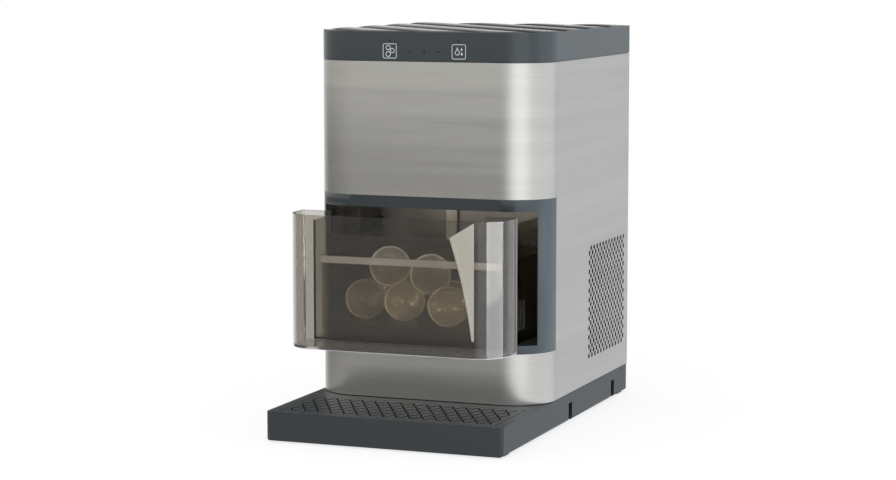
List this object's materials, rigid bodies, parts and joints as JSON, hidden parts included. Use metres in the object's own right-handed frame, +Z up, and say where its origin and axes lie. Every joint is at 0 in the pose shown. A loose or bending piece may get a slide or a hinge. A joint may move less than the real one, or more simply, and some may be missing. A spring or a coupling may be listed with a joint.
{
  "type": "ice ball maker",
  "caption": "Countertop clear ice ball maker: brushed steel body with rounded front corners, dark top and base with drip grille, and a smoked clear pull-out ice drawer.",
  "frame": {"origin": "middle of the footprint, on the table under the feet", "axes": "+Z up, -Y to the front with the drawer and drip grille, +X to the side with the vent"},
  "size_m": [0.27, 0.437, 0.4366],
  "materials": {
    "charcoal_plastic": "fine satin moulded",
    "grille_plastic": "satin moulded",
    "brushed_steel": "horizontal brushed grain",
    "zinc_sheet": "satin zinc coat",
    "rubber": "matt",
    "liner_plastic": "matt moulded",
    "pale_plastic": "satin moulded",
    "lens": "clear gloss",
    "circuit_board": "solder mask",
    "smoked_clear": "clear smoked gloss",
    "frosted_clear": "frosted",
    "ice": "clear wet",
    "aluminium": "milled",
    "copper": "drawn copper tube",
    "steel": "turned",
    "silicone": "translucent",
    "painted_shell": "black paint",
    "fan_plastic": "moulded"
  },
  "bodies": {
    "housing": {"base_plinth": "charcoal_plastic", "drawer_bezel": "charcoal_plastic", "top_cover": "charcoal_plastic", "drip_basin": "grille_plastic", "base_cover": "liner_plastic", "front_upper_panel": "brushed_steel", "front_lower_panel": "brushed_steel", "side_panel_right": "brushed_steel", "side_panel_left": "brushed_steel", "rear_panel": "zinc_sheet", "base_pan": "zinc_sheet", "mould_frame": "zinc_sheet", "rubber_feet": "rubber", "compressor_mounts": "rubber", "cavity_liner": "liner_plastic", "drawer_rails": "liner_plastic", "fan_shroud": "liner_plastic", "power_inlet": "liner_plastic", "drain_spout": "liner_plastic", "water_pump": "liner_plastic", "tilt_motor": "liner_plastic", "fan_motor": "liner_plastic", "return_duct": "pale_plastic", "water_tank": "pale_plastic", "led_lenses": "lens", "control_board": "circuit_board", "mould_block": "aluminium", "condenser": "aluminium", "evaporator_coil": "copper", "refrigerant_lines": "copper", "filter_drier": "copper", "panel_screws": "steel", "supply_hose": "silicone", "compressor": "painted_shell"},
    "drawer": {"drawer_fascia": "smoked_clear", "drawer_bin": "smoked_clear", "ice_tub": "smoked_clear", "fascia_web": "frosted_clear", "ice_balls": "ice"},
    "grille": {"drip_grille": "grille_plastic"},
    "tray": {"mould_tray": "pale_plastic", "tray_shaft": "steel"},
    "fan": {"fan_blades": "fan_plastic"},
    "plug": {"drain_plug": "rubber"}
  },
  "joints": [
    {"name": "drawer_slide", "type": "slide", "parent": "housing", "child": "drawer", "axis": [0, 1, 0], "range_m": [0, 0.1]},
    {"name": "grille_lift", "type": "slide", "parent": "housing", "child": "grille", "axis": [0, 0, 1], "range_m": [0, 0.06]},
    {"name": "tray_tilt", "type": "hinge", "parent": "housing", "child": "tray", "pos_m": [0, 0.0565, 0.311], "axis": [1, 0, 0], "range_deg": [0, 38]},
    {"name": "fan_turn", "type": "hinge", "parent": "housing", "child": "fan", "pos_m": [0.093, 0.1465, 0.1254], "axis": [1, 0, 0], "continuous": true},
    {"name": "plug_pull", "type": "slide", "parent": "housing", "child": "plug", "axis": [0, 1, 0], "range_m": [0, 0.03]}
  ]
}
